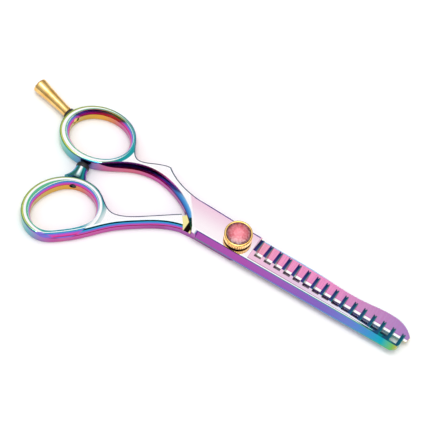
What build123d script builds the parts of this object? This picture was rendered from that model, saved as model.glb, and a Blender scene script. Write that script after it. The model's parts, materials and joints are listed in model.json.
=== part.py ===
from build123d import *
import os
from math import cos, radians, sin

os.makedirs("parts", exist_ok=True)

# Thinning shears, millimetres. Pivot axis is Z, blades run to +X, finger ring lies on the +Y side.
# z = 0 is the plane the closed shears rest on.

# ---------------- driving sizes ----------------
BLADE_T = 2.7                    # thickness of either blade layer
RIDE_Z = BLADE_T                 # plane the two halves ride on
TOP_Z = 2 * BLADE_T              # outer face of the comb half, and height of rings and shanks
TIP_X = 66.3                     # reach of the plain blade from the pivot
EDGE_ROUND = 0.55                # rounding of the outer ring and shank edges
HOLE_FLARE = 1.0                 # how much the finger ring's hole opens toward the top
THUMB_FLARE = 0.75               # the same on the thinner thumb ring
FLARE_Z = 3.4                    # height the holes start to open at
HOLE_BREAK = 0.35                # break of the lower hole edges
SIDE_INSET = 1.4                 # slope along the shank sides that face the handle gap, at the top
SIDE_Z = 2.95                    # height that slope starts at

# finger ring (comb half) and thumb ring (plain half)
FINGER_OUT = (13.45, 10.95)
FINGER_IN = (10.75, 8.35)
FINGER_C = (-60.35, 7.35)
FINGER_IN_SHIFT = (0.5, 0.4)     # hole sits forward of the ring, which leaves the rear wall thick
FINGER_TILT = 12
THUMB_OUT = (14.2, 11.85)
THUMB_C = (-55.0, -22.75)
THUMB_TILT = 45
THUMB_HOLE = (
    (-64.8, -24.9), (-62.3, -17.7), (-57.5, -13.1), (-51.0, -12.4), (-46.4, -15.2),
    (-44.7, -19.9), (-46.9, -25.1), (-51.2, -29.4), (-56.8, -32.9), (-62.0, -31.5),
)

# lower sides of the shanks, from the rings toward the pivot
FINGER_SIDE = ((-44.0, 3.4), (-36.5, 5.2), (-28.5, 4.0), (-21.0, 0.3), (-14.5, -6.6))
THUMB_SIDE = (
    (-50.6, -32.4), (-45.0, -27.2), (-38.0, -19.3), (-31.0, -13.6), (-24.0, -9.0), (-17.5, -6.6),
)

# comb teeth
TOOTH_COUNT = 16
TOOTH_PITCH = 3.8
TOOTH_W = 1.2
FIRST_GAP_X = 9.1                # middle of the first gap at the tips
TOOTH_LINE = (11.0, 4.75, -0.0695)   # x, y and slope of the line through the tooth tips
ROOT_LINE = (8.0, -2.85, -0.027)     # the same for the gap roots
TOOTH_TIP_T = 0.5                # thickness left at the tooth tips
BEVEL_W = 5.95                   # width of the ground bevel that thins the teeth
RAMP_W = 2.1                     # run of the sloped floor at a gap root
FACE_STEP = 0.25                 # the toothed face lies this far under the pivot face
FACE_STEP_X = 6.4
HEEL_R = 20.5                    # the full-thickness shanks start this far from the pivot
SPINE_BEVEL = 1.5                # width of the bevel along the comb spine
NOTCH_W = 0.55
NOTCH_D = 0.7

# pivot and tension dial
SHAFT_D = 4.0
SHAFT_FLAT = 3.3                 # across the two flats of the screw shaft
HEAD_D = 8.4
HEAD_T = 1.0
SPANNER_R = 2.7                  # two blind holes for a pin spanner
SPANNER_D = 1.1
SPANNER_DEPTH = 0.6
KEY_D = 5.4                      # round of the keyed neck in the plain half
KEY_FLAT = 4.4
RUN_C = 0.04                     # radial clearance of a running fit
SLIP_C = 0.15                    # clearance of loose pieces
BUSH_D = 5.6
BUSH_FLANGE_D = 7.2
BUSH_FLANGE_T = 0.4
WELL_D = 8.8                     # well in the comb half that takes the tension pieces
WELL_DEPTH = 1.25
WASHER_D = 9.4
WASHER_T = 0.3
SPRING_T = 0.25
SPRING_H = 0.65
PLATE_D = 8.0
PLATE_T = 0.6
CLICKS = 16
BALL_D = 1.0
BALL_GAP = 0.02                  # the balls ride this far over the plate between two clicks
BALL_R = 3.05                    # circle the click balls and notches lie on
DIAL_D = 9.7
DIAL_RISE = 3.36                 # dial rim above the comb face
DIAL_UNDERCUT = 0.75
DIAL_HUB_D = 8.3
RIM_R = 0.4                      # rounding of the rolled rim
RIM_BREAK = 0.15                 # break of the edge round the crystal
KNURLS = 48
KNURL_DEPTH = 0.2
CRYSTAL_D = 8.4
CRYSTAL_SEAT = 0.95              # depth of the seat under the rim
CRYSTAL_PROUD = 0.4

# finger rest and bumper
REST_D = 5.3                     # flared end
REST_NECK_D = 3.5
REST_L = 15.9
REST_ANGLE = 164.8               # heading of the finger rest seen from above
REST_ROOT = (-73.1, 9.6)
STUD_D = 2.5
PAD_D = 4.3                      # washer under the finger rest
PAD_T = 1.1
BOSS_D = 4.4
BOSS_FOOT = 8.6                  # width of the boss where it meets the ring
BOSS_WAIST = 1.6
BOSS_REACH = 4.6
BOSS_AT = (-58.35, -5.9)         # top of the bumper boss
BOSS_ANGLE = 98.5
BUMPER_D = 4.6
BUMPER_T = 1.9
STEM_D = 2.4
MID_Z = TOP_Z / 2


def line_y(line, x):
    """Height of a slanted line at x."""
    return line[1] + line[2] * (x - line[0])


def radial_plane(at, angle, z):
    """Plane whose normal points along a heading, standing at a point."""
    a = radians(angle)
    return Plane(origin=(at[0], at[1], z), x_dir=(-sin(a), cos(a), 0), z_dir=(cos(a), sin(a), 0))


def ring_points(centre, radii, tilt, start, stop, count):
    """Points along a tilted ellipse, from one angle to another."""
    t = radians(tilt)
    points = []
    for i in range(count):
        a = radians(start + (stop - start) * i / (count - 1))
        u = radii[0] * cos(a)
        v = radii[1] * sin(a)
        points.append((centre[0] + u * cos(t) - v * sin(t), centre[1] + u * sin(t) + v * cos(t)))
    return points


def rim_edges(part, z, reach):
    """Flat edges at height z, leaving out the closing edge near the pivot."""
    flat = part.edges().filter_by_position(Axis.Z, z - 0.01, z + 0.01)
    return flat.filter_by(lambda e: e.center().X < reach)


def cut_wedge(start, end, profile):
    """Cut a prism run along a level line from start to end, its section given as (outward, z) points.

    Outward is to the left of the run.
    """
    dx = end[0] - start[0]
    dy = end[1] - start[1]
    run = (dx * dx + dy * dy) ** 0.5
    across = (-dy / run, dx / run, 0)
    section = Plane(origin=(start[0], start[1], 0), x_dir=across, z_dir=(dx / run, dy / run, 0))
    with BuildSketch(section) as outline:
        with BuildLine():
            Polyline(*profile, close=True)
        make_face()
    extrude(outline.sketch, amount=run, mode=Mode.SUBTRACT)


def double_d(diameter, flat, height, z, mode=Mode.ADD):
    """Round bar with two flats, the shape both the keyed neck and the screw shaft use."""
    with BuildSketch(Plane.XY.offset(z)) as outline:
        Circle(diameter / 2)
        Rectangle(flat, diameter + 1, mode=Mode.INTERSECT)
    extrude(outline.sketch, amount=height, mode=mode)


def ring_solid(outer, inner, z0, z1, mode=Mode.ADD):
    """Flat ring between two heights; an inner diameter of 0 makes it a disc."""
    with BuildSketch(Plane.XY.offset(z0)) as outline:
        Circle(outer / 2)
        if inner:
            Circle(inner / 2, mode=Mode.SUBTRACT)
    extrude(outline.sketch, amount=z1 - z0, mode=mode)


def open_hole(part, flare):
    """Flare the top of the ring's hole and break its lower edge."""
    for z, spread, rise in ((TOP_Z, flare, TOP_Z - FLARE_Z), (0, HOLE_BREAK, HOLE_BREAK)):
        flat = part.faces().filter_by(Plane.XY).filter_by_position(Axis.Z, z - 0.01, z + 0.01)[0]
        chamfer(flat.inner_wires()[0].edges(), spread, rise, reference=flat)


def side_slope(points):
    """Cutter whose section is the slope of a shank side, run along the side's outline."""
    with BuildLine() as path:
        Spline(*points)
    lead = path.line % 0
    section = Plane(origin=path.line @ 0, x_dir=(-lead.Y, lead.X, 0), z_dir=lead)
    slant = SIDE_INSET / (TOP_Z - SIDE_Z)
    low = SIDE_Z - 1
    high = TOP_Z + 1
    with BuildSketch(section) as outline:
        with BuildLine():
            Polyline(
                (slant * (low - SIDE_Z), low), (slant * (high - SIDE_Z), high), (-2.5, high), (-2.5, low),
                close=True,
            )
        make_face()
    sweep(outline.sketch, path=path.line)


# ---------------- derived heights and bores ----------------
GAP_COUNT = TOOTH_COUNT - 1
FACE_Z = TOP_Z - FACE_STEP
GAP_W = TOOTH_PITCH - TOOTH_W
COMB_END_X = FIRST_GAP_X + (GAP_COUNT - 0.5) * TOOTH_PITCH + TOOTH_W / 2
SPINE_START = (-12.5, -6.95)
SPINE_END = (COMB_END_X - 2.2, -6.5)
WASHER_Z = RIDE_Z - WASHER_T / 2
WASHER_REC_D = WASHER_D + 2 * SLIP_C
WELL_Z = TOP_Z - WELL_DEPTH
FLANGE_TOP = WELL_Z + BUSH_FLANGE_T
SPRING_TOP = FLANGE_TOP + SPRING_H
PLATE_Z = SPRING_TOP
PLATE_TOP = PLATE_Z + PLATE_T
DIAL_TOP = TOP_Z + DIAL_RISE
DIAL_BOTTOM = PLATE_TOP + 0.03
SEAT_Z = DIAL_TOP - CRYSTAL_SEAT
SHAFT_TOP = SEAT_Z - 0.5
BALL_Z = PLATE_TOP + BALL_GAP + BALL_D / 2
POCKET_D = BALL_D + 0.1
POCKET_TOP = BALL_Z + BALL_D / 2 + 0.75


# ---- slopes along the sides of both shanks, run off the ends so that they fade out ----
with BuildPart() as finger_side_cut:
    side_slope(((-54.5, -4.1), (-50.9, -1.0), *FINGER_SIDE[:-1], (-16.6, -4.3), (-15.6, -7.2)))
with BuildPart() as thumb_side_cut:
    side_slope(((-58.6, -37.4), (-54.5, -35.3), *THUMB_SIDE))

# ---- finger ring and shank, full thickness, ending in a tongue under the pivot face ----
with BuildPart() as finger_handle:
    with BuildSketch(Plane.XY):
        with BuildLine():
            around = ring_points(FINGER_C, FINGER_OUT, FINGER_TILT, 8, 262, 13)
            Spline(
                (-32.8, 10.4), (-38.5, 8.55), (-44.2, 6.95), *around,
                (-51.0, -0.55), *FINGER_SIDE,
            )
            Line((-14.5, -6.6), (-14.5, 5.1))
            Spline((-14.5, 5.1), (-22.0, 5.75), (-28.1, 7.6), (-32.8, 10.4))
        make_face()
    extrude(amount=TOP_Z)
    for z in (0, TOP_Z):
        fillet(rim_edges(finger_handle.part, z, -17), EDGE_ROUND)
    # flat seat for the finger rest washer, and the hole for its stud
    with BuildSketch(radial_plane(REST_ROOT, REST_ANGLE, MID_Z)):
        Rectangle(3 * PAD_D, 3 * PAD_D)
    extrude(amount=5, mode=Mode.SUBTRACT)
    with BuildSketch(Plane.XY) as finger_hole:
        with Locations((FINGER_C[0] + FINGER_IN_SHIFT[0], FINGER_C[1] + FINGER_IN_SHIFT[1])):
            Ellipse(FINGER_IN[0], FINGER_IN[1], rotation=FINGER_TILT)
    extrude(amount=TOP_Z, mode=Mode.SUBTRACT)
    open_hole(finger_handle.part, HOLE_FLARE)
    add(finger_side_cut.part, mode=Mode.SUBTRACT)
    with BuildSketch(radial_plane(REST_ROOT, REST_ANGLE, MID_Z)):
        Circle(STUD_D / 2)
    extrude(amount=-8, mode=Mode.SUBTRACT)

# ---- thumb ring and shank, full thickness, ending in a step that clears the comb half ----
with BuildPart() as thumb_handle:
    with BuildSketch(Plane.XY):
        with BuildLine():
            around = ring_points(THUMB_C, THUMB_OUT, THUMB_TILT, 0, 212, 11)
            Spline(
                (-20.5, -2.6), (-25.1, -6.0), (-30.5, -10.1), (-36.5, -14.0), (-40.6, -15.0),
                *around,
                (-54.6, -35.0), *THUMB_SIDE,
            )
            Line((-17.5, -6.6), (-20.5, -2.6))
        make_face()
    extrude(amount=TOP_Z)
    for z in (0, TOP_Z):
        fillet(rim_edges(thumb_handle.part, z, -20), EDGE_ROUND)
    # boss that carries the bumper, flaring into the ring
    boss_plane = radial_plane(BOSS_AT, BOSS_ANGLE, MID_Z)
    with BuildSketch(boss_plane):
        Circle(BOSS_D / 2)
    with BuildSketch(boss_plane.offset(-BOSS_WAIST)):
        Ellipse(BOSS_D / 2 + 0.25, BOSS_D / 2)
    with BuildSketch(boss_plane.offset(-BOSS_REACH)):
        Ellipse(BOSS_FOOT / 2, MID_Z - 0.1)
    loft()
    with BuildSketch(Plane.XY) as thumb_hole:
        with BuildLine():
            Spline(*THUMB_HOLE, periodic=True)
        make_face()
    extrude(amount=TOP_Z, mode=Mode.SUBTRACT)
    open_hole(thumb_handle.part, THUMB_FLARE)
    add(thumb_side_cut.part, mode=Mode.SUBTRACT)

# ---- comb blade: ring, shank, toothed blade in one forging ----
with BuildPart() as comb_blade:
    add(finger_handle.part)
    # inside this radius the comb half is only the upper layer
    ring_solid(2 * HEEL_R, 0, 0, RIDE_Z, mode=Mode.SUBTRACT)
    with BuildSketch(Plane.XY.offset(RIDE_Z)):
        with BuildLine():
            Polyline(
                (-21.0, 5.0), (-14.5, 5.0), (6.0, 4.4), (8.0, line_y(TOOTH_LINE, 8.0)),
                (COMB_END_X, line_y(TOOTH_LINE, COMB_END_X)), (COMB_END_X, -3.6),
            )
            Spline((COMB_END_X, -3.6), (COMB_END_X - 0.5, -5.4), SPINE_END)
            Polyline(
                SPINE_END, SPINE_START, (-14.2, -6.7), (-15.2, -4.6), (-18.0, -0.5), (-21.0, 3.4),
                (-21.0, 5.0),
            )
        make_face()
    extrude(amount=BLADE_T)
    # bevel along the spine
    spine_cut = ((-1, RIDE_Z), (0, RIDE_Z), (SPINE_BEVEL, TOP_Z), (SPINE_BEVEL, TOP_Z + 1), (-1, TOP_Z + 1))
    cut_wedge(SPINE_START, (COMB_END_X + 2, -6.48), spine_cut)
    # toothed face sits a little lower than the pivot face
    step_cut = (
        (-4.3, FACE_Z), (8, FACE_Z), (8, TOP_Z + 1), (-4.3 - FACE_STEP, TOP_Z + 1),
        (-4.3 - FACE_STEP, TOP_Z),
    )
    cut_wedge((FACE_STEP_X, 0), (COMB_END_X + 2, 0), step_cut)
    # ground bevel that thins the teeth toward their tips
    tip_z = RIDE_Z + TOOTH_TIP_T
    drop = FACE_Z - tip_z
    bevel_cut = (
        (-BEVEL_W, FACE_Z), (0, tip_z), (BEVEL_W, tip_z - drop), (BEVEL_W, TOP_Z + 1),
        (-BEVEL_W - (TOP_Z + 1 - FACE_Z) * BEVEL_W / drop, TOP_Z + 1),
    )
    line_start = (FACE_STEP_X + 0.5, line_y(TOOTH_LINE, FACE_STEP_X + 0.5))
    line_end = (COMB_END_X + 2, line_y(TOOTH_LINE, COMB_END_X + 2))
    cut_wedge(line_start, line_end, bevel_cut)
    # gaps between the teeth, each with a sloped floor at its root, and a notch in each tooth tip
    for gap in range(GAP_COUNT):
        x = FIRST_GAP_X + gap * TOOTH_PITCH
        root = line_y(ROOT_LINE, x)
        ramp = RAMP_W if gap < GAP_COUNT - 1 else 0.01
        with BuildSketch(Plane(origin=(x - GAP_W / 2, 0, 0), x_dir=(0, 1, 0), z_dir=(1, 0, 0))):
            with BuildLine():
                Polyline(
                    (root, TOP_Z + 1), (root, TOP_Z), (root + ramp, RIDE_Z), (root + ramp, RIDE_Z - 1),
                    (8, RIDE_Z - 1), (8, TOP_Z + 1), close=True,
                )
            make_face()
        extrude(amount=GAP_W, mode=Mode.SUBTRACT)
        tooth_x = x + TOOTH_PITCH / 2
        tooth_y = line_y(TOOTH_LINE, tooth_x)
        with BuildSketch(Plane.XY.offset(RIDE_Z - 1)):
            with BuildLine():
                Polyline(
                    (tooth_x - NOTCH_W / 2, tooth_y + 1), (tooth_x - NOTCH_W / 2, tooth_y),
                    (tooth_x, tooth_y - NOTCH_D), (tooth_x + NOTCH_W / 2, tooth_y),
                    (tooth_x + NOTCH_W / 2, tooth_y + 1), close=True,
                )
            make_face()
        extrude(amount=BLADE_T, mode=Mode.SUBTRACT)
    # well for the tension pieces, bush bore, washer recess
    ring_solid(WELL_D, 0, WELL_Z, TOP_Z + 1, mode=Mode.SUBTRACT)
    ring_solid(BUSH_D, 0, RIDE_Z - 1, TOP_Z, mode=Mode.SUBTRACT)
    ring_solid(WASHER_REC_D, 0, RIDE_Z - 1, WASHER_Z + WASHER_T, mode=Mode.SUBTRACT)
comb_blade.part.label = "comb_blade"
export_step(comb_blade.part, "parts/comb_blade.step")


# ---- plain blade: thumb ring, shank, cutting blade in one forging ----
EDGE_START = (8.0, -0.75)
EDGE_END = (TIP_X - 0.3, -1.05)
with BuildPart() as plain_blade:
    add(thumb_handle.part)
    with BuildSketch(Plane.XY):
        with BuildLine():
            Polyline((-24.5, -7.2), (-22.0, -4.6), (-19.7, -1.3), (-15.5, 2.6), (-9.0, 4.4), (9.0, 4.95))
            Spline((9.0, 4.95), (29.0, 4.75), (47.0, 4.3), (64.0, 3.35), (TIP_X, 1.2))
            Polyline((TIP_X, 1.2), EDGE_END, EDGE_START)
            Spline(EDGE_START, (5.5, -1.6), (2.5, -5.4), (0.0, -6.2))
            Polyline((0.0, -6.2), (-13.0, -6.2), (-17.5, -6.6), (-24.5, -7.2))
        make_face()
    extrude(amount=BLADE_T)
    # bevel on the under side down to the cutting edge
    edge_cut = ((-1, -1), (3.2, -1), (3.2, 0), (0, RIDE_Z - 0.35), (-1, RIDE_Z - 0.35))
    cut_wedge((5.0, EDGE_START[1] + 0.015), (TIP_X + 2, EDGE_END[1]), edge_cut)
    # washer recess, keyed hole, seat of the screw head
    ring_solid(WASHER_REC_D, 0, WASHER_Z, RIDE_Z + 1, mode=Mode.SUBTRACT)
    double_d(KEY_D, KEY_FLAT, TOP_Z, -1, mode=Mode.SUBTRACT)
    ring_solid(HEAD_D + 0.1, 0, -1, HEAD_T, mode=Mode.SUBTRACT)
    with BuildSketch(radial_plane(BOSS_AT, BOSS_ANGLE, MID_Z)):
        Circle(STEM_D / 2)
    extrude(amount=-9, mode=Mode.SUBTRACT)
plain_blade.part.label = "plain_blade"
export_step(plain_blade.part, "parts/plain_blade.step")


# ---- pivot screw: head, keyed neck, shaft with two flats ----
with BuildPart() as pivot_screw:
    ring_solid(HEAD_D, 0, 0, HEAD_T)
    double_d(KEY_D, KEY_FLAT, WASHER_Z - HEAD_T, HEAD_T)
    ring_solid(SHAFT_D, 0, WASHER_Z, FLANGE_TOP)
    double_d(SHAFT_D, SHAFT_FLAT, SHAFT_TOP - FLANGE_TOP, FLANGE_TOP)
    # two spanner holes
    with BuildSketch(Plane.XY):
        with Locations((SPANNER_R, 0), (-SPANNER_R, 0)):
            Circle(SPANNER_D / 2)
    extrude(amount=SPANNER_DEPTH, mode=Mode.SUBTRACT)
pivot_screw.part.label = "pivot_screw"
export_step(pivot_screw.part, "parts/pivot_screw.step")

# ---- ride washer: slides between the two halves ----
with BuildPart() as ride_washer:
    ring_solid(WASHER_D, SHAFT_D + 2 * SLIP_C, WASHER_Z, WASHER_Z + WASHER_T)
ride_washer.part.label = "ride_washer"
export_step(ride_washer.part, "parts/ride_washer.step")

# ---- pivot bush: pressed in the comb half, flange up ----
with BuildPart() as pivot_bush:
    ring_solid(BUSH_D, 0, WASHER_Z + WASHER_T, WELL_Z)
    ring_solid(BUSH_FLANGE_D, 0, WELL_Z, FLANGE_TOP)
    ring_solid(SHAFT_D + 2 * RUN_C, 0, 0, TOP_Z, mode=Mode.SUBTRACT)
pivot_bush.part.label = "pivot_bush"
export_step(pivot_bush.part, "parts/pivot_bush.step")

# ---- cone spring: dished washer that the dial flattens ----
with BuildPart() as cone_spring:
    with BuildSketch(Plane.XZ):
        with BuildLine():
            Polyline(
                (SHAFT_D / 2 + SLIP_C, SPRING_TOP - SPRING_T), (BUSH_FLANGE_D / 2 - 0.1, FLANGE_TOP),
                (BUSH_FLANGE_D / 2 - 0.1, FLANGE_TOP + SPRING_T), (SHAFT_D / 2 + SLIP_C, SPRING_TOP),
                close=True,
            )
        make_face()
    revolve(axis=Axis.Z)
cone_spring.part.label = "cone_spring"
export_step(cone_spring.part, "parts/cone_spring.step")

# ---- click plate: slides on the flats of the screw, notched on top ----
with BuildPart() as click_plate:
    ring_solid(PLATE_D, 0, PLATE_Z, PLATE_TOP)
    double_d(SHAFT_D + 2 * RUN_C, SHAFT_FLAT + 2 * RUN_C, TOP_Z, PLATE_Z - 1, mode=Mode.SUBTRACT)
    with BuildSketch(Plane.XY.offset(PLATE_TOP - 0.25)):
        with PolarLocations(BALL_R, CLICKS):
            Circle(0.42)
    extrude(amount=1, mode=Mode.SUBTRACT)
click_plate.part.label = "click_plate"
export_step(click_plate.part, "parts/click_plate.step")

# ---- click balls and the springs behind them, in pockets of the dial ----
for side, turn in (("left", 180), ("right", 0)):
    at = (BALL_R * cos(radians(turn)), BALL_R * sin(radians(turn)))
    with BuildPart() as click_ball:
        with Locations((at[0], at[1], BALL_Z)):
            Sphere(BALL_D / 2)
    click_ball.part.label = "click_ball_" + side
    export_step(click_ball.part, "parts/click_ball_" + side + ".step")
    foot = BALL_Z + BALL_D / 2 + 0.07
    with BuildPart() as click_spring:
        with BuildLine():
            Helix(
                pitch=0.22, height=POCKET_TOP - foot - 0.07, radius=0.36, center=(at[0], at[1], foot),
            )
        with BuildSketch(Plane(origin=(at[0] + 0.36, at[1], foot), z_dir=(0, 1, 0))):
            Circle(0.06)
        sweep(is_frenet=True)
    click_spring.part.label = "click_spring_" + side
    export_step(click_spring.part, "parts/click_spring_" + side + ".step")

# ---- tension dial: knurled nut with a rolled rim round the crystal ----
KNURL_Z = TOP_Z + DIAL_UNDERCUT
with BuildPart() as tension_dial:
    with BuildSketch(Plane.XZ):
        with BuildLine():
            Polyline(
                (0, DIAL_BOTTOM), (DIAL_HUB_D / 2, DIAL_BOTTOM), (DIAL_HUB_D / 2, KNURL_Z),
                (DIAL_D / 2 - 0.15, KNURL_Z), (DIAL_D / 2, KNURL_Z + 0.15), (DIAL_D / 2, DIAL_TOP - RIM_R),
            )
            ThreePointArc(
                (DIAL_D / 2, DIAL_TOP - RIM_R), (DIAL_D / 2 - 0.29 * RIM_R, DIAL_TOP - 0.29 * RIM_R),
                (DIAL_D / 2 - RIM_R, DIAL_TOP),
            )
            Polyline(
                (DIAL_D / 2 - RIM_R, DIAL_TOP), (CRYSTAL_D / 2 + RIM_BREAK, DIAL_TOP),
                (CRYSTAL_D / 2, DIAL_TOP - RIM_BREAK), (CRYSTAL_D / 2, SEAT_Z), (0, SEAT_Z),
                (0, DIAL_BOTTOM),
            )
        make_face()
    revolve(axis=Axis.Z)
    ring_solid(SHAFT_D + 2 * RUN_C, 0, 0, SEAT_Z + 1, mode=Mode.SUBTRACT)
    with BuildSketch(Plane.XY):
        with Locations((BALL_R, 0), (-BALL_R, 0)):
            Circle(POCKET_D / 2)
    extrude(amount=POCKET_TOP, mode=Mode.SUBTRACT)
    with BuildSketch(Plane.XY.offset(KNURL_Z - 0.05)):
        with PolarLocations(DIAL_D / 2 + 0.02, KNURLS):
            Rectangle(2 * KNURL_DEPTH, 2 * KNURL_DEPTH, rotation=45)
    extrude(amount=DIAL_RISE - DIAL_UNDERCUT - 0.7, mode=Mode.SUBTRACT)
tension_dial.part.label = "tension_dial"
export_step(tension_dial.part, "parts/tension_dial.step")

# ---- crystal: faceted cap set in the rim ----
with BuildPart() as dial_crystal:
    ring_solid(CRYSTAL_D, 0, SEAT_Z, DIAL_TOP - 0.3)
    with BuildSketch(Plane.XY.offset(DIAL_TOP - 0.3)):
        RegularPolygon(CRYSTAL_D / 2 - 0.15, 12)
    with BuildSketch(Plane.XY.offset(DIAL_TOP + CRYSTAL_PROUD * 0.55)):
        RegularPolygon(CRYSTAL_D * 0.37, 12)
    loft(ruled=True)
    with BuildSketch(Plane.XY.offset(DIAL_TOP + CRYSTAL_PROUD * 0.55)):
        RegularPolygon(CRYSTAL_D * 0.37, 12)
    with BuildSketch(Plane.XY.offset(DIAL_TOP + CRYSTAL_PROUD)):
        RegularPolygon(CRYSTAL_D * 0.2, 12)
    loft(ruled=True)
dial_crystal.part.label = "dial_crystal"
export_step(dial_crystal.part, "parts/dial_crystal.step")

# ---- finger rest: flared horn with a stud ----
with BuildPart() as finger_rest:
    with BuildSketch(Plane.XZ):
        with BuildLine():
            Polyline((0, -4.0), (STUD_D / 2, -4.0), (STUD_D / 2, PAD_T), (REST_NECK_D / 2, PAD_T))
            Spline(
                (REST_NECK_D / 2, PAD_T), (REST_NECK_D / 2 + 0.12, PAD_T + 3.5),
                (REST_D / 2 - 0.45, REST_L - 2.0), (REST_D / 2, REST_L - 0.5),
            )
            Spline((REST_D / 2, REST_L - 0.5), (REST_D / 2 - 0.45, REST_L), (0, REST_L + 0.55))
            Line((0, REST_L + 0.55), (0, -4.0))
        make_face()
    revolve(axis=Axis.Z)
finger_rest_placed = radial_plane(REST_ROOT, REST_ANGLE, MID_Z) * finger_rest.part
finger_rest_placed.label = "finger_rest"
export_step(finger_rest_placed, "parts/finger_rest.step")

# ---- washer under the finger rest ----
with BuildPart() as finger_rest_washer:
    with BuildSketch(radial_plane(REST_ROOT, REST_ANGLE, MID_Z)):
        Circle(PAD_D / 2)
        Circle(STUD_D / 2, mode=Mode.SUBTRACT)
    extrude(amount=PAD_T)
finger_rest_washer.part.label = "finger_rest_washer"
export_step(finger_rest_washer.part, "parts/finger_rest_washer.step")

# ---- bumper: rubber pad with a stem through the boss ----
with BuildPart() as bumper:
    with BuildSketch(radial_plane(BOSS_AT, BOSS_ANGLE, MID_Z)):
        Circle(BUMPER_D / 2)
    extrude(amount=BUMPER_T)
    fillet(bumper.edges().sort_by(Axis.Y)[-1], 0.4)
    with BuildSketch(radial_plane(BOSS_AT, BOSS_ANGLE, MID_Z)):
        Circle(STEM_D / 2)
    extrude(amount=-6.9)
bumper.part.label = "bumper"
export_step(bumper.part, "parts/bumper.step")
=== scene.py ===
import json
import logging
import math
from dataclasses import dataclass, field
from enum import Enum
from typing import Any, Sequence

import bmesh
import bpy
from mathutils import Matrix, Vector

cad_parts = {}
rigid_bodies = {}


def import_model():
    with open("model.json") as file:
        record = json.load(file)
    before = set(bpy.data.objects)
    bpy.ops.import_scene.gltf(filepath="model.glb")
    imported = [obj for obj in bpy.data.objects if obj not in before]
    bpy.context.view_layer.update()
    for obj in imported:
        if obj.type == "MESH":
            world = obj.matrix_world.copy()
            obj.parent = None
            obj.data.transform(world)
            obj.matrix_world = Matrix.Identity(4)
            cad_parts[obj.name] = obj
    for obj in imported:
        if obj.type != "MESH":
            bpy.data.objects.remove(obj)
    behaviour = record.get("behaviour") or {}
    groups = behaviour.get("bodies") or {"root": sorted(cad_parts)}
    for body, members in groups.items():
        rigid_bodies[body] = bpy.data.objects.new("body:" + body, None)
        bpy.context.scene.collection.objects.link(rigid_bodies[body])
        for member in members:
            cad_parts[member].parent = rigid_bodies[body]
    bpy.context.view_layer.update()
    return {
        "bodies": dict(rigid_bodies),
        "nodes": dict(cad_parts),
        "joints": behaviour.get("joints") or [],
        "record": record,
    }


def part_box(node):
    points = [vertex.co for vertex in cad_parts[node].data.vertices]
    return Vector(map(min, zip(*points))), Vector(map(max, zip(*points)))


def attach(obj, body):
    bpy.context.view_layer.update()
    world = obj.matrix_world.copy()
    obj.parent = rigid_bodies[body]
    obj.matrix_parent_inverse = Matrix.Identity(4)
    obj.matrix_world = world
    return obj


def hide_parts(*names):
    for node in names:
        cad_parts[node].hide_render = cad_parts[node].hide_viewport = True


MM = 0.001
log = logging.getLogger("thinning_shears")

CREST = "fdfbfd"  # pale colour of the level crests

Colour = tuple[float, float, float]
Stops = Sequence[tuple[float, str]]


def hex_colour(code: str) -> Colour:
    """Linear colour of an sRGB hex code."""
    values = [int(code[i:i + 2], 16) / 255 for i in (0, 2, 4)]
    linear = [v / 12.92 if v <= 0.04045 else ((v + 0.055) / 1.055) ** 2.4 for v in values]
    return linear[0], linear[1], linear[2]


# ---------------------------------------------------------------- shader maths
class Value:
    """One output socket of a finish, usable in ordinary arithmetic."""

    def __init__(self, finish: "FinishGraph", socket: bpy.types.NodeSocket) -> None:
        """Wrap a socket of the given finish."""
        self.finish = finish
        self.socket = socket

    def maths(self, operation: str, *values: Any) -> "Value":
        """Add one Math node.

        Args:
            operation: Name of the operation.
            values: Its inputs, numbers or Values.

        Returns:
            The node's result.
        """
        return self.finish.node("ShaderNodeMath", {"operation": operation}, dict(enumerate(values)))

    def __add__(self, other: Any) -> "Value":
        """Sum."""
        return self.maths("ADD", self, other)

    def __radd__(self, other: Any) -> "Value":
        """Sum, number first."""
        return self.maths("ADD", other, self)

    def __sub__(self, other: Any) -> "Value":
        """Difference."""
        return self.maths("SUBTRACT", self, other)

    def __rsub__(self, other: Any) -> "Value":
        """Difference, number first."""
        return self.maths("SUBTRACT", other, self)

    def __mul__(self, other: Any) -> "Value":
        """Product."""
        return self.maths("MULTIPLY", self, other)

    def __rmul__(self, other: Any) -> "Value":
        """Product, number first."""
        return self.maths("MULTIPLY", other, self)

    def __truediv__(self, other: Any) -> "Value":
        """Quotient."""
        return self.maths("DIVIDE", self, other)

    def size(self) -> "Value":
        """Value without its sign."""
        return self.maths("ABSOLUTE", self)

    def root(self) -> "Value":
        """Square root."""
        return self.maths("SQRT", self)

    def fraction(self) -> "Value":
        """Part after the decimal point."""
        return self.maths("FRACT", self)

    def rise(self, low: float, high: float) -> "Value":
        """Soft step: 0 up to low, 1 from high on."""
        settings = {"interpolation_type": "SMOOTHSTEP"}
        inputs = {"Value": self, "From Min": low, "From Max": high}
        return self.finish.node("ShaderNodeMapRange", settings, inputs)

    def fall(self, low: float, high: float) -> "Value":
        """Soft step: 1 up to low, 0 from high on."""
        return 1.0 - self.rise(low, high)

    def between(self, low: float, high: float, soft: float) -> "Value":
        """1 between low and high, with soft ends."""
        return self.rise(low - soft, low) * self.fall(high, high + soft)


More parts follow.
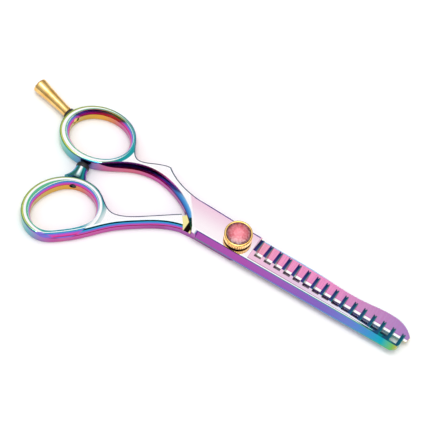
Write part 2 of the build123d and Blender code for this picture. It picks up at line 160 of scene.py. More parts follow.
class FinishGraph:
    """The node tree of one finish."""

    def __init__(self, name: str) -> None:
        """Start a finish with its Principled shader only."""
        self.material = bpy.data.materials.new(name)
        self.material.use_nodes = True
        self.tree = self.material.node_tree
        self.shader = self.tree.nodes["Principled BSDF"]

    def node(self, kind: str, settings: dict[str, Any] | None = None,
             inputs: dict[Any, Any] | None = None, output: Any = 0) -> Value:
        """Add any node.

        Args:
            kind: Type of the node.
            settings: Attributes, set before anything else.
            inputs: Numbers, colours or Values by input name or number.
            output: Name or number of the output to return.

        Returns:
            The chosen output.
        """
        made = self.tree.nodes.new(kind)
        for key, value in (settings or {}).items():
            if key == "stops":
                band = made.color_ramp
                while len(band.elements) < len(value):
                    band.elements.new(0.5)
                for element, (position, code) in zip(band.elements, value):
                    element.position = position
                    element.color = (*hex_colour(code), 1.0)
            else:
                setattr(made, key, value)
        for key, value in (inputs or {}).items():
            if isinstance(value, Value):
                self.tree.links.new(value.socket, made.inputs[key])
            else:
                made.inputs[key].default_value = value
        return Value(self, made.outputs[output])

    def ramp(self, factor: Value, stops: Stops, low: float = 0.0, high: float = 1.0) -> Value:
        """Colour that follows a value.

        Args:
            factor: The value to follow.
            stops: Pairs of the value and the colour's hex code, in order.
            low: Smallest value in the stops.
            high: Largest value in the stops.

        Returns:
            The colour.
        """
        placed = [((at - low) / (high - low), code) for at, code in stops]
        return self.node("ShaderNodeValToRGB", {"stops": placed}, {"Fac": (factor - low) / (high - low)})

    def mix(self, factor: Any, first: Any, second: Any) -> Value:
        """Mix two colours, given as Values or hex codes."""
        pair = [(*hex_colour(c), 1.0) if isinstance(c, str) else c for c in (first, second)]
        return self.node("ShaderNodeMix", {"data_type": "RGBA"}, {0: factor, 6: pair[0], 7: pair[1]}, 2)

    def split(self, vector: Value) -> tuple[Value, Value, Value]:
        """Separate a vector into its three values."""
        made = self.node("ShaderNodeSeparateXYZ", None, {0: vector}).socket.node
        return Value(self, made.outputs[0]), Value(self, made.outputs[1]), Value(self, made.outputs[2])

    def place(self) -> tuple[Value, Value, Value]:
        """Place on the piece, in millimetres."""
        x, y, z = self.split(self.node("ShaderNodeTexCoord", output="Object"))
        return x / MM, y / MM, z / MM

    def facing(self) -> tuple[Value, Value, Value]:
        """The way the surface faces, in the piece's own frame."""
        return self.split(self.node("ShaderNodeTexCoord", output="Normal"))

    def noise(self, scale: float, detail: float = 3.0, stretch: Sequence[float] = (1, 1, 1)) -> Value:
        """Noise over the piece, stretched along its axes."""
        where = self.node("ShaderNodeTexCoord", output="Object")
        mapped = self.node("ShaderNodeMapping", None, {"Vector": where, "Scale": tuple(stretch)})
        return self.node("ShaderNodeTexNoise", None, {"Vector": mapped, "Scale": scale, "Detail": detail})

    def set(self, **values: Any) -> None:
        """Set or link inputs of the Principled shader; underscores stand for spaces."""
        for key, value in values.items():
            socket = self.shader.inputs[key.replace("_", " ")]
            if isinstance(value, Value):
                self.tree.links.new(value.socket, socket)
            else:
                socket.default_value = value

    def bump(self, height: Value, depth: float, strength: float = 1.0) -> None:
        """Feed a height of the given depth in metres to the shader's Normal."""
        self.set(Normal=self.node("ShaderNodeBump", None, {
            "Height": height, "Distance": depth, "Strength": strength}))


# ---------------------------------------------------------------- finishes
@dataclass(frozen=True)
class Surface:
    """Where a point of the piece lies, in millimetres, and the way its surface faces."""

    g: FinishGraph
    x: Value
    y: Value
    z: Value
    nx: Value
    ny: Value
    nz: Value

    @classmethod
    def of(cls, g: FinishGraph) -> "Surface":
        """Read place and facing into a finish."""
        return cls(g, *g.place(), *g.facing())


@dataclass(frozen=True)
class RingOutline:
    """A tilted ellipse that follows a finger ring; sizes in millimetres, tilt in degrees."""

    centre: tuple[float, float]
    radii: tuple[float, float]
    tilt: float

    def squared(self, at: Surface) -> Value:
        """Squared distance from the centre, 1 on the ellipse."""
        turn = math.radians(self.tilt)
        x = at.x - self.centre[0]
        y = at.y - self.centre[1]
        u = (x * math.cos(turn) + y * math.sin(turn)) / self.radii[0]
        v = (y * math.cos(turn) - x * math.sin(turn)) / self.radii[1]
        return u * u + v * v

    def reach(self, at: Surface) -> Value:
        """Distance from the centre, 1 on the ellipse."""
        return self.squared(at).root()

    def hollow(self, at: Surface) -> Value:
        """1 inside the ellipse, 0 outside it."""
        return self.squared(at).fall(0.98, 1.02)


@dataclass(frozen=True)
class RainbowCoat:
    """Mirror-polished steel under an iridescent titanium coating.

    The coating's colour follows the way the surface faces and where on the shears it lies, as its
    thickness does, while rounded edges that face away along +Y carry painted shade. Sizes are in
    millimetres.
    """

    name: str = "rainbow_titanium"
    roughness: float = 0.06
    thumb: float = 0.0
    # painted shade on the rounded edges that face away along +Y
    far_edge_shade: str = "0a2a6a"
    finger_wall: RingOutline = RingOutline((-60.2, 7.4), (12.6, 10.1), 12)
    thumb_wall: RingOutline = RingOutline((-55.2, -22.9), (12.6, 10.3), 47)
    finger_rim: RingOutline = RingOutline((-60.35, 7.35), (13.45, 10.95), 12)
    finger_mouth: RingOutline = RingOutline((-59.85, 7.75), (11.75, 9.35), 12)
    thumb_rim: RingOutline = RingOutline((-55.0, -22.75), (14.2, 11.85), 45)

    def walls(self, at: Surface, inside: Value) -> Value:
        """Colour the upright walls.

        Args:
            at: The surface.
            inside: 1 on the walls of the ring holes.

        Returns:
            Colour by place along the shears, and in the holes by place across the ring.
        """
        g, x, y = at.g, at.x, at.y
        outer = g.ramp(x, (
            (-76, "8fcfae"), (-70, "5fbf9f"), (-64, "4aa6b8"), (-58, "6f86c8"), (-52, "c0608f"),
            (-44, "c8647c"), (-36, "c0489a"), (-22, "a551a6"), (2, "a44fa2"), (24, "9659ac"),
            (40, "7a62b8"), (50, "5f74c4"), (57, "1f98b8"), (63, "2fb0a0"), (64.6, "b9b640"), (67, "d09a30"),
        ), -76, 67)
        lower = g.ramp(x, (
            (-76, "b8b848"), (-69, "b9bd50"), (-65, "4fb3a4"), (-61, "3fa9b6"), (-57, "8a78b8"),
            (-52, "b8489a"), (-42, "c0489c"), (-34, "b24ba0"), (-24, "9a3f90"),
        ), -76, -20)
        thumb_side = y.fall(-9.5, -7.5) * x.fall(-24, -21)
        outer = g.mix(thumb_side, outer, lower)
        apart = self.thumb_wall.centre[0] - self.finger_wall.centre[0]
        across = x - (self.finger_wall.centre[0] + y.fall(-11, -9) * apart)
        hollow = g.ramp(across, (
            (-11, "c3b070"), (-8, "c9a238"), (-3, "dba032"), (1, "cf7a5a"), (4, "c4568f"),
            (8, "b9529f"), (11, "b56a90"),
        ), -11, 11)
        return g.mix(inside, outer, hollow)

    def edges(self, at: Surface) -> Value:
        """Colour of the rounded edges, from upright to level."""
        g, x, nz = at.g, at.x, at.nz
        main = g.ramp(nz, (
            (0.00, "b0307a"), (0.10, "8c1050"), (0.20, "b848a8"), (0.38, "9a5ac0"), (0.55, "6a6cd0"),
            (0.68, "3f8ed8"), (0.78, "1fa0c0"), (0.88, "2fb0a8"), (0.95, "0a7a80"), (1.0, "c8ecec"),
        ))
        tail = g.ramp(nz, (
            (0.00, "8f9a40"), (0.20, "2f9f90"), (0.50, "2fae8c"), (0.75, "7fb83a"), (0.88, "b9c84a"),
            (0.96, "cfd070"), (1.0, "f4f4dc"),
        ))
        return g.mix(x.fall(-66, -58), main, tail)

    def crests(self, at: Surface, face: Any) -> Value:
        """Draw coloured lines along both edges of the ring crests.

        Args:
            at: The surface.
            face: Colour of the crests between the lines.

        Returns:
            The colour with its lines.
        """
        g, x, y = at.g, at.x, at.y
        thumb = self.thumb_rim.reach(at)
        on_thumb = y.fall(-10.5, -9.0)
        rim = g.mix(x.fall(-58, -48), "1a9aa0", "a8c03a")
        outer = g.mix(on_thumb, self.finger_rim.reach(at), thumb)
        outer_line = outer.rise(0.925, 0.95) * outer.fall(1.03, 1.06) * x.fall(-45, -40)
        inner = g.mix(on_thumb, self.finger_mouth.reach(at).fall(1.02, 1.05), thumb.fall(0.87, 0.885))
        face = g.mix(outer_line, face, rim)
        return g.mix(inner * x.fall(-46, -43), face, g.mix(x.fall(-64, -50), "1fa0b0", "5fb890"))

    def slopes(self, at: Surface, colour: Value, inside: Value) -> Value:
        """Colour the ring flares and the shank slopes, in lines that follow their height.

        Args:
            at: The surface.
            colour: Colour of everything else.
            inside: 1 on the walls of the ring holes.

        Returns:
            The colour with flares and slopes.
        """
        g, x, z, nz = at.g, at.x, at.z, at.nz
        flare = g.ramp(z, (
            (3.35, "7a0a30"), (3.5, "8a1040"), (3.65, "e04090"), (4.1, "c050b0"), (4.45, "8a60c8"),
            (4.75, "4a78d0"), (5.0, "1fa8c0"), (5.15, "0a6a70"), (5.22, "ffffff"), (5.4, "ffffff"),
        ), 3.35, 5.4)
        on_flare = inside * z.rise(3.38, 3.42) * nz.between(0.05, 0.97, 0.02)
        colour = g.mix(on_flare, colour, flare)
        upper = g.ramp(z, (
            (2.95, "7a0830"), (3.08, "5a0628"), (3.2, "d8408a"), (3.5, "9a58b8"), (3.9, "4a78c8"),
            (4.2, "2aa0d0"), (4.4, "05060c"), (4.75, "05060c"), (4.85, "8ad0e0"), (5.0, "ffffff"),
            (5.4, "ffffff"),
        ), 2.95, 5.4)
        blue = g.ramp(z, (
            (2.95, "5a0628"), (3.1, "30123a"), (3.3, "3a62b0"), (4.0, "3a86cc"), (4.6, "58a8dc"),
            (5.1, "7fb8e4"), (5.4, "f0fafc"),
        ), 2.95, 5.4)
        upper = g.mix(x.rise(-33, -25) * (1.0 - self.thumb), upper, blue)
        on_slope = (1.0 - inside) * z.rise(2.9, 2.95) * nz.between(0.42, 0.56, 0.02) * x.rise(-57.0, -49.0)
        return g.mix(on_slope, colour, upper)

    def material(self) -> bpy.types.Material:
        """Build the coated steel of one half."""
        g = FinishGraph(self.name)
        at = Surface.of(g)
        inside = self.finger_wall.hollow(at) + self.thumb_wall.hollow(at)
        colour = g.mix(at.nz.rise(0.04, 0.2), self.walls(at, inside), self.edges(at))
        # Painted shade: rounded edges that face away along +Y, from x = -52 mm on and above 4.5 mm, turn
        # dark blue.
        rounded = at.ny.rise(0.1, 0.3) * at.nz.between(0.1, 0.97, 0.02)
        far = rounded * at.x.rise(-52, -44) * at.z.rise(4.5, 4.8)
        colour = g.mix(far, colour, self.far_edge_shade)
        colour = self.level(at, self.slopes(at, colour, inside))
        g.set(Metallic=1.0, Base_Color=colour)
        haze = g.noise(700.0, 4.0)
        g.set(Roughness=haze * 0.05 + self.roughness)
        g.bump(g.noise(2400.0, 2.0), 0.000002, 0.2)
        return g.material

    def level(self, at: Surface, colour: Value) -> Value:
        """Colour of the level faces; each half has its own."""
        return colour


@dataclass(frozen=True)
class CombCoat(RainbowCoat):
    """The coat on the comb half, with its plate, spine and teeth."""

    name: str = "rainbow_titanium_comb"
    first_gap: float = 9.1
    pitch: float = 3.8

    def level(self, at: Surface, colour: Value) -> Value:
        """Lay the pale crest, pink plate, teeth whose dark tops carry a painted reflection, spine and root
        ramps over a colour.

        Args:
            at: The surface.
            colour: Colour of everything else.

        Returns:
            The comb half's whole colour.
        """
        g, x, y, z, nx, ny, nz = at.g, at.x, at.y, at.z, at.nx, at.ny, at.nz
        flat = nz.rise(0.985, 0.998)
        plate = g.mix(y.rise(-4.0, 5.0), "fdf3f8", "f2cfe2")
        ground = g.ramp(x, ((6, "f3c2dc"), (25, "e6c6e2"), (45, "ecebfa"), (65, "f6fcfc")), 6, 65)
        plate = g.mix(x.rise(6.3, 6.5), plate, ground)
        border = x - (-18.4 - 0.77 * (y - 0.2))
        on_plate = border.rise(0.0, 0.8) * y.rise(-4.75, -4.45)
        face = g.mix(on_plate, self.crests(at, CREST), plate)
        crest = y + 5.45 - (x + 12.5) * 0.0061
        crest_line = crest.fall(0.22, 0.34) * x.rise(-13.5, -12.5)
        line = g.ramp(x, (
            (-13, "1a2a8c"), (2, "143f90"), (14, "0a8aa2"), (34, "00a0a4"), (50, "3fae7a"), (62, "b4c850"),
        ), -13, 62)
        face = g.mix(crest_line, face, line)
        upper = y - 5.0 + (x + 14.5) * 0.0293
        upper_line = upper.rise(-0.42, -0.30) * x.between(-20, 6.3, 0.1)
        face = g.mix(upper_line, face, "4a0a86")
        colour = g.mix(flat, colour, face)
        # spine bevel
        spine = nz.between(0.40, 0.56, 0.02) * ny.fall(-0.8, -0.7) * x.rise(-14, -13)
        spine_colour = g.ramp(x, (
            (-12, "a050a4"), (4, "a64fa4"), (20, "9459ae"), (36, "7c62b6"), (46, "6878c4"), (54, "3f8cc4"),
            (59, "0fa2b4"), (63, "6fb45a"), (65, "d0a040"),
        ), -12, 65)
        spine_colour = g.mix(z.fall(2.85, 3.0), spine_colour, g.ramp(x, (
            (-12, "3f9a70"), (6, "3a7ac8"), (40, "3a9ad0"), (60, "5ab45a")), -12, 60))
        colour = g.mix(spine, colour, spine_colour)
        # ground teeth; their dark navy tops are the coat's colour with a painted dark reflection
        tooth = nz.between(0.93, 0.965, 0.01) * ny.rise(0.2, 0.28) * x.rise(6.8, 6.9)
        step = ((x - self.first_gap) / self.pitch).fraction()
        top = g.ramp(x, (
            (8, "3a2f86"), (20, "28327e"), (34, "1c3f7c"), (46, "0f5268"), (62, "0a6a64"),
        ), 8, 62)
        foot = g.ramp(x, ((8, "5a3f9a"), (30, "4a4aa4"), (62, "1f6a8a")), 8, 62)
        top = g.mix(y.rise(-1.5, 3.0), foot, top)
        top = g.mix(step.rise(0.56, 0.62), top, "0f9aa0")
        colour = g.mix(tooth, colour, top)
        # tooth sides, and the end of the grind
        side = nx.size().rise(0.9, 0.97) * x.rise(6.0, 6.2)
        flank = g.ramp(x, ((8, "6a3a1a"), (20, "5a2418"), (36, "6a0f3a"), (62, "5a1a66")), 8, 62)
        flank = g.mix(y.rise(-2.2, 0.5), "08060a", flank)
        flank = g.mix(x.fall(6.55, 6.7), g.mix(x.rise(64.0, 64.4), flank, "4fa088"), "5f2fa0")
        flank = g.mix(x.between(6.7, 7.2, 0.05), flank, "c89440")
        colour = g.mix(side, colour, flank)
        # sloped gap roots
        ramp = ny.rise(0.6, 0.72) * nz.between(0.5, 0.75, 0.02) * x.rise(7.0, 7.2)
        slope = g.ramp(x, (
            (9, "6a4530"), (13, "5a1050"), (40, "641060"), (52, "6a5080"), (62, "76668a"),
        ), 9, 62)
        return g.mix(ramp, colour, slope)


@dataclass(frozen=True)
class PlainCoat(RainbowCoat):
    """The coat on the plain half, with its ground inner face."""

    name: str = "rainbow_titanium_plain"
    thumb: float = 1.0
    # painted shade on this half's rounded edges that face away along +Y
    far_edge_shade: str = "2a1280"

    def level(self, at: Surface, colour: Value) -> Value:
        """Lay the pale crest, the pink ground face with a painted highlight along its hone line and a
        painted shadow in its undercut, and the gold step over a colour.

        Args:
            at: The surface.
            colour: Colour of everything else.

        Returns:
            The plain half's whole colour.
        """
        g, x, y, z, nx, nz = at.g, at.x, at.y, at.z, at.nx, at.nz
        flat = nz.rise(0.985, 0.998)
        inner = z.between(2.5, 2.9, 0.05)
        ground = g.ramp(x, (
            (6, "f2a8b8"), (14, "f79cc6"), (34, "f094c8"), (50, "c890c4"), (66, "a884c4"),
        ), 6, 66)
        grind = g.noise(90.0, 2.0, (60, 2, 1))
        ground = g.mix(grind.rise(0.35, 0.7) * 0.35, ground, "c070b0")
        # Painted highlight: a white strip along the hone line near the ride plane.
        root = y + 0.75 + (x - 8) * 0.0052
        ground = g.mix(root.between(0.05, 0.85, 0.08), ground, "ffffff")
        far = y - 4.95 + ((x - 9) / 57) * ((x - 9) / 57) * 1.35
        ground = g.mix(far.rise(-0.35, -0.15) * x.fall(42, 47), ground, "7cc8ee")
        # Painted shadow: behind x = -12 mm the ground face turns near-black in the undercut, except for a
        # pale yellow band from -17.2 to -15.6 mm.
        ground = g.mix(x.fall(-12, -11), ground, g.mix(x.between(-17.2, -15.6, 0.3), "f4e8a0", "15100a"))
        face = g.mix(inner, self.crests(at, CREST), ground)
        colour = g.mix(flat, colour, face)
        step = x.between(-24.5, -17.0, 0.1) * nz.fall(0.1, 0.2) * z.rise(2.6, 2.7) * nx.rise(0.55, 0.65)
        stripes = g.ramp((x * 0.9 + z * 0.5 + y * 0.3).fraction(), (
            (0.0, "8a6a3a"), (0.3, "cfc070"), (0.45, "2f8a60"), (0.6, "d8a23a"), (0.85, "f0dc80"),
            (1.0, "8a6a3a"),
        ))
        return g.mix(step, colour, stripes)


@dataclass(frozen=True)
class GoldPlate:
    """Polished gold-tone metal."""

    name: str = "gold_plate"
    colour: str = "f6cf86"
    shade: str = "eab460"
    roughness: float = 0.12

    def material(self) -> bpy.types.Material:
        """Build the gold."""
        g = FinishGraph(self.name)
        patch = g.noise(260.0, 3.0)
        g.set(Base_Color=g.mix(patch.rise(0.35, 0.7), self.colour, self.shade), Metallic=1.0)
        g.set(Roughness=patch * 0.08 + self.roughness)
        g.bump(g.noise(4000.0, 2.0), 0.000003, 0.2)
        return g.material


@dataclass(frozen=True)
class DialGold(GoldPlate):
    """The dial's gold, with painted shade in the grooves of its knurl and a painted shadow at its foot."""

    name: str = "dial_gold"
    # painted shadow at the dial's foot, dark red-brown
    foot_shadow: str = "5a2408"
    foot: float = 6.15
    crown: float = 8.1
    groove: float = 4.72

    def material(self) -> bpy.types.Material:
        """Build the gold with its painted shade and painted shadow."""
        g = FinishGraph(self.name)
        x, y, z = g.place()
        patch = g.noise(260.0, 3.0)
        gold = g.mix(patch.rise(0.35, 0.7), self.colour, self.shade)
        reach = (x * x + y * y).root()
        # Painted shade: the knurl's grooves, inside the groove radius between foot and crown, turn dark
        # brown.
        groove_shade = reach.fall(self.groove - 0.12, self.groove) * z.between(self.foot, self.crown, 0.1)
        gold = g.mix(groove_shade, gold, "8a5a18")
        # Painted shadow: below the foot height the gold turns dark red-brown.
        gold = g.mix(z.fall(self.foot, self.foot + 0.1), gold, self.foot_shadow)
        g.set(Base_Color=gold, Metallic=1.0, Roughness=patch * 0.08 + self.roughness)
        return g.material


@dataclass(frozen=True)
class RoseCrystal:
    """Glossy rose resin, with a painted highlight on its table and painted shade darkening toward its rim.
    """

    name: str = "rose_crystal"
    radius: float = 4.2

    def material(self) -> bpy.types.Material:
        """Build the crystal."""
        g = FinishGraph(self.name)
        x, y, _z = g.place()
        reach = (x * x + y * y).root() / self.radius
        # Painted highlight and shade: pale pink on the table, darkening to near-black red at the rim.
        colour = g.ramp(reach, (
            (0.0, "f08a98"), (0.36, "ec7888"), (0.42, "d85a6a"), (0.7, "b83c4c"), (0.86, "7a1c2c"),
            (1.0, "30040c"),
        ))
        cloud = g.noise(1500.0, 4.0).rise(0.35, 0.75)
        g.set(Base_Color=g.mix(cloud * 0.25, colour, "ffc4cc"), Roughness=0.1)
        g.set(Coat_Weight=1.0, Coat_Roughness=0.03)
        return g.material


@dataclass(frozen=True)
class GrainedFinish:
    """A dull or metallic finish with a fine grain."""

    name: str
    colour: str
    second: str
    roughness: float
    metallic: float = 0.0
    grain: float = 1200.0

    def material(self) -> bpy.types.Material:
        """Build the finish."""
        g = FinishGraph(self.name)
        speck = g.noise(self.grain, 4.0)
        g.set(Base_Color=g.mix(speck.rise(0.3, 0.7), self.colour, self.second), Metallic=self.metallic)
        g.set(Roughness=speck * 0.15 + self.roughness)
        g.bump(speck, 0.00001, 0.3)
        return g.material


class Slot(Enum):
    """The record's material slots."""

    RAINBOW = "rainbow_titanium"
    GOLD = "gold_plate"
    CRYSTAL = "crystal"
    RUBBER = "black_rubber"
    NYLON = "nylon"
    BRONZE = "bronze"
    STEEL = "spring_steel"


@dataclass
class Finishes:
    """Every finish on the shears, built once."""

    made: dict[str, bpy.types.Material] = field(default_factory=dict)

    def build(self) -> None:
        """Build each finish."""
        self.made = {
            "comb": CombCoat().material(),
            "plain": PlainCoat().material(),
            Slot.GOLD.value: GoldPlate().material(),
            "dial": DialGold().material(),
            Slot.CRYSTAL.value: RoseCrystal().material(),
            Slot.RUBBER.value: GrainedFinish("black_rubber", "0a0a0b", "161617", 0.42).material(),
            Slot.NYLON.value: GrainedFinish("nylon", "d9d6cc", "e6e3da", 0.45).material(),
            Slot.BRONZE.value: GrainedFinish("bronze", "a87436", "8f5f2a", 0.3, 1.0).material(),
            Slot.STEEL.value: GrainedFinish("spring_steel", "9a9a9e", "b5b5b8", 0.22, 1.0).material(),
        }

    def dress(self, piece: bpy.types.Object, name: str) -> None:
        """Give a piece one finish."""
        piece.data.materials.clear()
        piece.data.materials.append(self.made[name])


# ---------------------------------------------------------------- mesh helpers
def finish_mesh(form: bmesh.types.BMesh, name: str, smooth_angle: float = 35.0) -> bpy.types.Object:
    """Clean a form and turn it into a piece.

    Args:
        form: The finished form, in metres in the shears' frame.
        name: Name of the piece.
        smooth_angle: Edges sharper than this, in degrees, stay sharp.

    Returns:
        The piece, linked to the scene.
    """
    bmesh.ops.remove_doubles(form, verts=form.verts, dist=1e-7)
    bmesh.ops.recalc_face_normals(form, faces=form.faces)
    limit = math.radians(smooth_angle)
    for face in form.faces:
        face.smooth = True
    for edge in form.edges:
        edge.smooth = len(edge.link_faces) == 2 and edge.calc_face_angle(0.0) < limit
    mesh = bpy.data.meshes.new(name)
    form.to_mesh(mesh)
    form.free()
    piece = bpy.data.objects.new(name, mesh)
    bpy.context.scene.collection.objects.link(piece)
    return piece


def turned(profile: Sequence[tuple[float, float]], steps: int) -> bmesh.types.BMesh:
    """Turn a profile of (radius, height) points, in millimetres, about the Z axis."""
    form = bmesh.new()
    points = [form.verts.new((r * MM, 0.0, h * MM)) for r, h in profile]
    edges = [form.edges.new(pair) for pair in zip(points, points[1:])]
    bmesh.ops.spin(form, geom=points + edges, cent=(0, 0, 0), axis=(0, 0, 1), angle=math.tau,
                   steps=steps, use_merge=True)
    return form


def heading_frame(root: Vector, heading: float) -> Matrix:
    """Matrix that stands the Z axis along a level heading, in degrees, at a point."""
    a = math.radians(heading)
    columns = Matrix(((-math.sin(a), 0, math.cos(a)), (math.cos(a), 0, math.sin(a)), (0, 1, 0)))
    return Matrix.Translation(root) @ columns.to_4x4()


# ---------------------------------------------------------------- sub-assemblies
@dataclass
class CombHalf:
    """The comb half with its bush, finger rest and washer; sizes in millimetres."""

    body: str = "comb_half"
    rest_heading: float = 164.8
    stud: float = 2.5
    neck: float = 3.5
    flare: float = 5.3
    length: float = 15.9
    pad: float = 1.1
    pad_across: float = 4.3
    steps: int = 72

    def rest_root(self) -> Vector:
        """Point where the finger rest's washer meets the ring."""
        low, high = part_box("finger_rest_washer")
        a = math.radians(self.rest_heading)
        return (low + high) / 2 - Vector((math.cos(a), math.sin(a), 0)) * self.pad / 2 * MM

    def build(self, finishes: Finishes) -> list[bpy.types.Object]:
        """Turn the finger rest and its washer.

        Args:
            finishes: The finishes to dress the pieces in.

        Returns:
            The new pieces.
        """
        frame = heading_frame(self.rest_root(), self.rest_heading)
        neck = self.neck / 2
        horn = turned((
            (0, -2.8), (self.stud / 2 - 0.2, -2.8), (self.stud / 2, -2.6), (self.stud / 2, self.pad),
            (neck - 0.12, self.pad), (neck, self.pad + 0.12), (neck + 0.01, self.pad + 1.4),
            (neck + 0.06, self.pad + 3.2),
            (neck + 0.18, self.pad + 5.4), (neck + 0.34, self.pad + 8.2), (neck + 0.56, self.pad + 11.0),
            (neck + 0.79, self.pad + 13.0), (self.flare / 2 - 0.03, self.length - 0.75),
            (self.flare / 2, self.length - 0.45),
            (self.flare / 2 - 0.1, self.length - 0.16), (self.flare / 2 - 0.4, self.length + 0.02),
            (1.4, self.length + 0.3), (0.6, self.length + 0.43), (0, self.length + 0.46),
        ), self.steps)
        bmesh.ops.transform(horn, matrix=frame, verts=horn.verts)
        rest = finish_mesh(horn, "finger_rest_horn", 40)
        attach(rest, self.body)
        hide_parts("finger_rest")
        finishes.dress(rest, Slot.GOLD.value)
        across = self.pad_across / 2
        ring = turned((
            (self.stud / 2, 0.02), (across - 0.3, 0.02), (across - 0.08, 0.1), (across, 0.32),
            (across, self.pad - 0.32),
            (across - 0.08, self.pad - 0.1), (across - 0.3, self.pad - 0.02),
            (self.stud / 2, self.pad - 0.02),
            (self.stud / 2, 0.02),
        ), self.steps)
        bmesh.ops.transform(ring, matrix=frame, verts=ring.verts)
        washer = finish_mesh(ring, "finger_rest_pad", 50)
        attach(washer, self.body)
        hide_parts("finger_rest_washer")
        finishes.dress(washer, Slot.RUBBER.value)
        return [rest, washer]

    def dress(self, nodes: dict[str, bpy.types.Object], finishes: Finishes) -> None:
        """Dress the forged comb half and its bush."""
        finishes.dress(nodes["comb_blade"], "comb")
        finishes.dress(nodes["pivot_bush"], Slot.BRONZE.value)


@dataclass
class PlainHalf:
    """The plain half with its screw, washer and bumper; sizes in millimetres."""

    body: str = "plain_half"
    boss_heading: float = 98.5
    stem: float = 2.4
    stem_length: float = 6.9
    pad_across: float = 4.6
    pad: float = 1.9
    steps: int = 72

    def boss_top(self) -> Vector:
        """Point where the bumper's pad meets its boss."""
        low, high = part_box("bumper")
        a = math.radians(self.boss_heading)
        down = self.stem_length * math.sin(a) + self.stem / 2 * abs(math.cos(a))
        x = high.x - self.pad_across / 2 * math.sin(a) * MM
        return Vector((x, low.y + down * MM, (low.z + high.z) / 2))

    def build(self, finishes: Finishes) -> list[bpy.types.Object]:
        """Turn the rubber bumper.

        Args:
            finishes: The finishes to dress the piece in.

        Returns:
            The new piece.
        """
        across = self.pad_across / 2
        pad = turned((
            (0, -self.stem_length), (self.stem / 2 - 0.15, -self.stem_length),
            (self.stem / 2, -self.stem_length + 0.15),
            (self.stem / 2, 0.02), (across - 0.35, 0.02), (across - 0.1, 0.12), (across, 0.4),
            (across, self.pad - 0.62),
            (across - 0.09, self.pad - 0.3), (across - 0.3, self.pad - 0.09), (across - 0.62, self.pad),
            (0, self.pad),
        ), self.steps)
        bmesh.ops.transform(pad, matrix=heading_frame(self.boss_top(), self.boss_heading), verts=pad.verts)
        bumper = finish_mesh(pad, "rubber_bumper", 50)
        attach(bumper, self.body)
        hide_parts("bumper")
        finishes.dress(bumper, Slot.RUBBER.value)
        return [bumper]

    def dress(self, nodes: dict[str, bpy.types.Object], finishes: Finishes) -> None:
        """Dress the forged plain half, its screw and the ride washer."""
        finishes.dress(nodes["plain_blade"], "plain")
        finishes.dress(nodes["pivot_screw"], Slot.GOLD.value)
        finishes.dress(nodes["ride_washer"], Slot.NYLON.value)


@dataclass
class TensionSet:
    """The click dial with its crystal, and the pieces under it; sizes in millimetres."""

    body: str = "dial"
    knurls: int = 48
    knurl_depth: float = 0.26
    rim: float = 0.38
    bore: float = 4.08
    facets: int = 12

    def dial(self, finishes: Finishes) -> bpy.types.Object:
        """Turn the dial and roll its knurl."""
        low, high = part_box("tension_dial")
        crystal_low, _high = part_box("dial_crystal")
        top, bottom, seat = high.z / MM, low.z / MM, crystal_low.z / MM
        radius = (high.x - low.x) / 2 / MM
        lip = -crystal_low.x / MM
        knurl_low, knurl_high = bottom + 0.32, top - self.rim - 0.42
        body = turned((
            (self.bore / 2, bottom), (4.15, bottom), (4.15, knurl_low), (radius - 0.15, knurl_low),
            (radius, knurl_low + 0.12), (radius, knurl_high), (radius - 0.1, knurl_high + 0.06),
            (radius - 0.1, knurl_high + 0.16), (radius, knurl_high + 0.24), (radius, top - self.rim),
            (radius - 0.04, top - 0.2), (radius - 0.13, top - 0.08), (radius - 0.26, top - 0.02),
            (radius - 0.37, top),
            (lip + 0.15, top), (lip + 0.06, top - 0.03), (lip, top - 0.12), (lip, seat),
            (self.bore / 2, seat),
            (self.bore / 2, bottom),
        ), self.knurls * 4)
        for vert in body.verts:
            height = vert.co.z / MM
            reach = vert.co.xy.length / MM
            if knurl_low + 0.1 < height < knurl_high + 0.01 and reach > radius - 0.05:
                turn = math.atan2(vert.co.y, vert.co.x) / math.tau * self.knurls
                groove = self.knurl_depth if round(turn * 4) % 4 == 0 else 0.0
                vert.co.xy *= (reach - groove) / reach
        dial = finish_mesh(body, "knurled_dial", 30)
        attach(dial, self.body)
        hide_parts("tension_dial")
        finishes.dress(dial, "dial")
        return dial

    def crystal(self, finishes: Finishes) -> bpy.types.Object:
        """Cut the crystal: girdle, two rows of facets and a table."""
        low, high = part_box("dial_crystal")
        radius = (high.x - low.x) / 2
        rise = high.z - low.z
        form = bmesh.new()
        tiers = ((1.0, 0.0, 0), (1.0, 0.62, 0), (0.86, 0.80, 1), (0.60, 0.93, 0), (0.36, 1.0, 1))
        rings = []
        for reach, height, half in tiers:
            turn = Matrix.Rotation(math.pi / self.facets * half, 4, "Z")
            place = Matrix.Translation((0, 0, low.z + rise * height)) @ turn
            made = bmesh.ops.create_circle(
                form, cap_ends=False, radius=radius * reach, segments=self.facets, matrix=place)
            rings.append(list({edge for vert in made["verts"] for edge in vert.link_edges}))
        for under, over in zip(rings, rings[1:]):
            bmesh.ops.bridge_loops(form, edges=under + over)
        for ring in (rings[0], rings[-1]):
            bmesh.ops.contextual_create(form, geom=ring)
        bmesh.ops.triangulate(form, faces=[f for f in form.faces if len(f.verts) == 4 and f.normal.z < 0.99])
        crystal = finish_mesh(form, "faceted_crystal", 1)
        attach(crystal, self.body)
        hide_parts("dial_crystal")
        finishes.dress(crystal, Slot.CRYSTAL.value)
        return crystal

    def build(self, finishes: Finishes) -> list[bpy.types.Object]:
        """Build the dial and its crystal."""
        return [self.dial(finishes), self.crystal(finishes)]

    def dress(self, nodes: dict[str, bpy.types.Object], finishes: Finishes) -> None:
        """Dress the click plate, springs and balls."""
        for name in ("cone_spring", "click_plate", "click_ball_left", "click_ball_right",
                     "click_spring_left", "click_spring_right"):
            finishes.dress(nodes[name], Slot.STEEL.value)


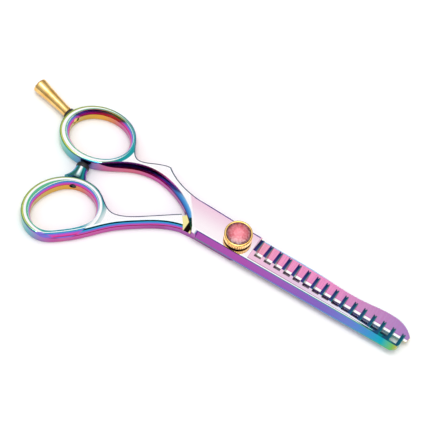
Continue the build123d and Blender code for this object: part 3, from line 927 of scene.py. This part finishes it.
# ---------------------------------------------------------------- studio
@dataclass
class Studio:
    """Camera, floor and soft light."""

    azimuth: float = 23.7
    elevation: float = 62.6
    roll: float = 8.8
    target: tuple[float, float, float] = (-10.88 * MM, 3.03 * MM, 5.4 * MM)
    view_width: float = 144.5 * MM
    lens: float = 200.0
    sensor: float = 36.0
    sky: Sequence[tuple[float, float]] = (
        (0.00, 0.01), (0.07, 0.02), (0.12, 0.42), (0.50, 0.60), (0.58, 0.30), (0.64, 0.50), (0.72, 1.0),
        (0.93, 1.0), (0.97, 4.5))

    def camera(self) -> None:
        """Place the long-lens camera above and beside the shears."""
        data = bpy.data.cameras.new("camera")
        data.lens = self.lens
        data.sensor_width = self.sensor
        data.clip_start = 0.01
        data.clip_end = 10.0
        shot = bpy.data.objects.new("camera", data)
        bpy.context.scene.collection.objects.link(shot)
        a = math.radians(self.azimuth)
        e = math.radians(self.elevation)
        back = Vector((math.sin(a) * math.cos(e), -math.cos(a) * math.cos(e), math.sin(e)))
        shot.rotation_mode = "QUATERNION"
        turn = (-back).to_track_quat("-Z", "Y")
        shot.rotation_quaternion = turn @ Matrix.Rotation(math.radians(self.roll), 3, "Z").to_quaternion()
        shot.location = Vector(self.target) + back * self.view_width * self.lens / self.sensor
        bpy.context.scene.camera = shot

    def panel(self, name: str, place: Sequence[float], size: Sequence[float], power: float) -> None:
        """Hang one soft panel light that looks at the shears."""
        data = bpy.data.lights.new(name, "AREA")
        data.shape = "RECTANGLE"
        data.size, data.size_y = size
        data.energy = power
        lamp = bpy.data.objects.new(name, data)
        lamp.location = place
        lamp.rotation_mode = "QUATERNION"
        lamp.rotation_quaternion = (Vector(self.target) - Vector(place)).to_track_quat("-Z", "Y")
        bpy.context.scene.collection.objects.link(lamp)

    def floor(self) -> None:
        """Lay the plain pale floor just under the shears."""
        form = bmesh.new()
        bmesh.ops.create_grid(form, x_segments=1, y_segments=1, size=3.0)
        bmesh.ops.translate(form, verts=form.verts, vec=(0, 0, -0.02 * MM))
        ground = finish_mesh(form, "floor")
        g = FinishGraph("pale_floor")
        g.set(Base_Color=(1.0, 1.0, 1.0, 1.0), Roughness=0.8)
        ground.data.materials.append(g.material)

    def world(self) -> None:
        """Light the room softly, in level bands from the horizon to straight overhead."""
        room = bpy.data.worlds.new("room")
        room.use_nodes = True
        tree = room.node_tree
        back = tree.nodes["Background"]
        where = tree.nodes.new("ShaderNodeTexCoord")
        parts = tree.nodes.new("ShaderNodeSeparateXYZ")
        band = tree.nodes.new("ShaderNodeValToRGB")
        tree.links.new(where.outputs["Generated"], parts.inputs[0])
        tree.links.new(parts.outputs[2], band.inputs[0])
        tree.links.new(band.outputs[0], back.inputs[0])
        while len(band.color_ramp.elements) < len(self.sky):
            band.color_ramp.elements.new(0.5)
        for element, (position, light) in zip(band.color_ramp.elements, self.sky):
            element.position = position
            element.color = (light, light, light, 1.0)
        bpy.context.scene.world = room

    def build(self) -> None:
        """Set up the whole studio."""
        self.camera()
        self.floor()
        self.world()
        self.panel("front", (0.35, -0.75, 0.45), (0.5, 0.25), 1.2)
        view = bpy.context.scene.view_settings
        view.view_transform = "Standard"
        view.look = "None"


# ---------------------------------------------------------------- build
def note_size() -> None:
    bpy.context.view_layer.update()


def main() -> None:
    """Build and dress every sub-assembly of the shears."""
    logging.basicConfig(level=logging.INFO, format="%(name)s %(message)s")
    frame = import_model()
    finishes = Finishes()
    finishes.build()
    for part in (PlainHalf(), CombHalf(), TensionSet()):
        for piece in part.build(finishes):
            log.info("%s: %s, %d faces", type(part).__name__, piece.name, len(piece.data.polygons))
        part.dress(frame["nodes"], finishes)
        log.info("%s dressed", type(part).__name__)
    Studio().build()
    note_size()


if __name__ == "__main__":
    main()
